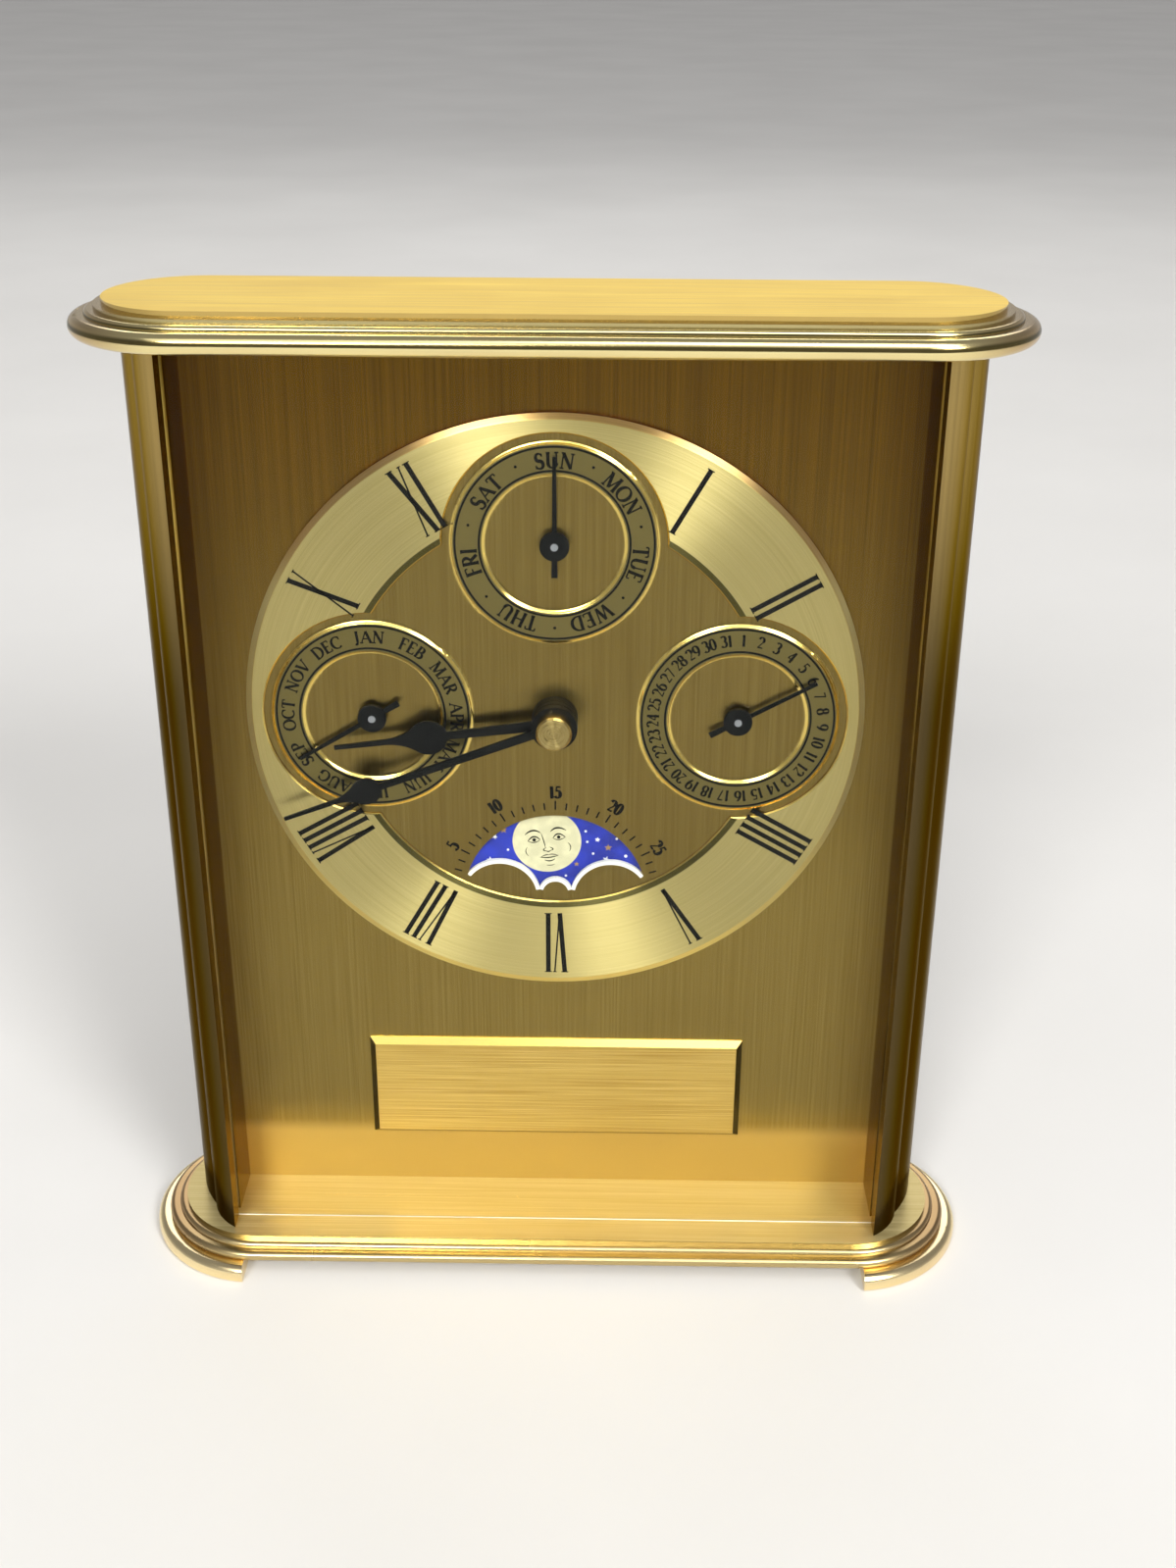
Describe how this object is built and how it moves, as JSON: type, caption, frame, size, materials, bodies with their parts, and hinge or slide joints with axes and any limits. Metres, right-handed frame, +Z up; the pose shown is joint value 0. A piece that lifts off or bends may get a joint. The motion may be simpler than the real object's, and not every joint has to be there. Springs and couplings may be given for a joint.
{
  "type": "desk clock",
  "caption": "Oval-ended brass desk clock behind flat glass, with hour hands, day, date and month dials, a turning moon disc and a battery movement.",
  "frame": {"origin": "centre of the case in plan, on the plane the feet rest on", "axes": "+X to the right of someone reading the dial, +Y to the back of the case, +Z up"},
  "size_m": [0.1598, 0.0446, 0.1834],
  "materials": {
    "polished_brass": "polished",
    "brushed_brass": "brushed",
    "glass": "clear",
    "seal": "matte",
    "black_paint": "satin",
    "steel": "satin",
    "nickel": "satin",
    "movement_plastic": "fine grain",
    "wheel_plastic": "smooth",
    "button_plastic": "smooth",
    "moon_paint": "satin",
    "circuit_green": "satin",
    "copper_wire": "enamelled",
    "cell_sleeve": "gloss"
  },
  "bodies": {
    "case": {"top_moulding": "polished_brass", "base_moulding": "polished_brass", "foot_left": "polished_brass", "foot_right": "polished_brass", "column_left": "polished_brass", "column_right": "polished_brass", "top_plate": "brushed_brass", "base_plate": "brushed_brass", "dial_plate": "brushed_brass", "chapter_ring": "brushed_brass", "centre_dial": "brushed_brass", "nameplate": "brushed_brass", "back_panel": "brushed_brass", "centre_bushing": "brushed_brass", "dial_rivets": "brushed_brass", "dial_pillars": "brushed_brass", "glass_pane": "glass", "glass_seals": "seal", "centre_nut": "black_paint", "stator": "steel", "panel_screws": "steel", "top_screws": "steel", "bottom_screws": "steel", "movement_screws": "steel", "quartz_crystal": "nickel", "contact_positive": "nickel", "contact_negative": "nickel", "movement_housing": "movement_plastic", "front_plate": "movement_plastic", "train_plate": "movement_plastic", "circuit_board": "circuit_green", "motor_coil": "copper_wire", "battery": "cell_sleeve"},
    "minute": {"minute_arbor": "steel", "minute_hand": "black_paint", "hand_cap": "brushed_brass"},
    "hour": {"hour_wheel": "wheel_plastic", "hour_hand": "black_paint"},
    "minute_wheel": {"minute_wheel": "wheel_plastic"},
    "setting": {"setting_shaft": "steel", "setting_knob": "movement_plastic"},
    "transfer": {"transfer_wheel": "wheel_plastic"},
    "day_drive": {"day_drive_wheel": "wheel_plastic"},
    "rotor": {"rotor": "steel"},
    "second_wheel": {"second_wheel": "wheel_plastic"},
    "fourth_wheel": {"fourth_wheel": "wheel_plastic"},
    "third_wheel": {"third_wheel": "wheel_plastic"},
    "centre_wheel": {"centre_wheel": "wheel_plastic"},
    "day": {"day_star_wheel": "wheel_plastic", "day_hand": "black_paint"},
    "date": {"date_star_wheel": "wheel_plastic", "date_hand": "black_paint"},
    "month": {"month_star_wheel": "wheel_plastic", "month_hand": "black_paint"},
    "moon": {"moon_wheel": "wheel_plastic", "moon_disc": "moon_paint"},
    "day_corrector": {"day_corrector": "button_plastic"},
    "date_corrector": {"date_corrector": "button_plastic"},
    "month_corrector": {"month_corrector": "button_plastic"},
    "moon_corrector": {"moon_corrector": "button_plastic"}
  },
  "joints": [
    {"name": "minute_turn", "type": "hinge", "parent": "case", "child": "minute", "pos_m": [0, 0, 0.109], "axis": [0, 1, 0], "continuous": true},
    {"name": "hour_turn", "type": "hinge", "parent": "case", "child": "hour", "pos_m": [0, 0, 0.109], "axis": [0, 1, 0], "continuous": true},
    {"name": "minute_wheel_turn", "type": "hinge", "parent": "case", "child": "minute_wheel", "pos_m": [0.00707, 0, 0.10193], "axis": [0, 1, 0], "continuous": true},
    {"name": "setting_turn", "type": "hinge", "parent": "case", "child": "setting", "pos_m": [0.01681, 0, 0.0963], "axis": [0, 1, 0], "continuous": true},
    {"name": "transfer_turn", "type": "hinge", "parent": "case", "child": "transfer", "pos_m": [-0.00679, 0, 0.10221], "axis": [0, 1, 0], "continuous": true},
    {"name": "day_drive_turn", "type": "hinge", "parent": "case", "child": "day_drive", "pos_m": [0, 0, 0.109], "axis": [0, 1, 0], "continuous": true},
    {"name": "rotor_turn", "type": "hinge", "parent": "case", "child": "rotor", "pos_m": [-0.02392, 0, 0.11459], "axis": [0, 1, 0], "continuous": true},
    {"name": "second_wheel_turn", "type": "hinge", "parent": "case", "child": "second_wheel", "pos_m": [-0.0184, 0, 0.11361], "axis": [0, 1, 0], "continuous": true},
    {"name": "fourth_wheel_turn", "type": "hinge", "parent": "case", "child": "fourth_wheel", "pos_m": [-0.01635, 0, 0.10797], "axis": [0, 1, 0], "continuous": true},
    {"name": "third_wheel_turn", "type": "hinge", "parent": "case", "child": "third_wheel", "pos_m": [-0.00958, 0, 0.10551], "axis": [0, 1, 0], "continuous": true},
    {"name": "centre_wheel_turn", "type": "hinge", "parent": "case", "child": "centre_wheel", "pos_m": [0, 0, 0.109], "axis": [0, 1, 0], "continuous": true},
    {"name": "day_turn", "type": "hinge", "parent": "case", "child": "day", "pos_m": [0, 0, 0.1412], "axis": [0, 1, 0], "continuous": true},
    {"name": "date_turn", "type": "hinge", "parent": "case", "child": "date", "pos_m": [0.0325, 0, 0.109], "axis": [0, 1, 0], "continuous": true},
    {"name": "month_turn", "type": "hinge", "parent": "case", "child": "month", "pos_m": [-0.0325, 0, 0.109], "axis": [0, 1, 0], "continuous": true},
    {"name": "moon_turn", "type": "hinge", "parent": "case", "child": "moon", "pos_m": [0, 0, 0.0725], "axis": [0, 1, 0], "continuous": true},
    {"name": "day_corrector_press", "type": "slide", "parent": "case", "child": "day_corrector", "axis": [0, -1, 0], "range_m": [0, 0.0015], "stiffness_N_per_m": 300},
    {"name": "date_corrector_press", "type": "slide", "parent": "case", "child": "date_corrector", "axis": [0, -1, 0], "range_m": [0, 0.0015], "stiffness_N_per_m": 300},
    {"name": "month_corrector_press", "type": "slide", "parent": "case", "child": "month_corrector", "axis": [0, -1, 0], "range_m": [0, 0.0015], "stiffness_N_per_m": 300},
    {"name": "moon_corrector_press", "type": "slide", "parent": "case", "child": "moon_corrector", "axis": [0, -1, 0], "range_m": [0, 0.0015], "stiffness_N_per_m": 300}
  ],
  "couplings": [
    {"joint": "hour_turn", "follows": "minute_turn", "ratio": 0.083333},
    {"joint": "minute_wheel_turn", "follows": "minute_turn", "ratio": -0.33333},
    {"joint": "setting_turn", "follows": "minute_turn", "ratio": 0.66667},
    {"joint": "transfer_turn", "follows": "minute_turn", "ratio": -0.083333},
    {"joint": "day_drive_turn", "follows": "minute_turn", "ratio": 0.041667},
    {"joint": "second_wheel_turn", "follows": "rotor_turn", "ratio": -0.16667},
    {"joint": "fourth_wheel_turn", "follows": "rotor_turn", "ratio": 0.033333},
    {"joint": "third_wheel_turn", "follows": "rotor_turn", "ratio": -0.0041667},
    {"joint": "centre_wheel_turn", "follows": "rotor_turn", "ratio": 0.00055556}
  ]
}
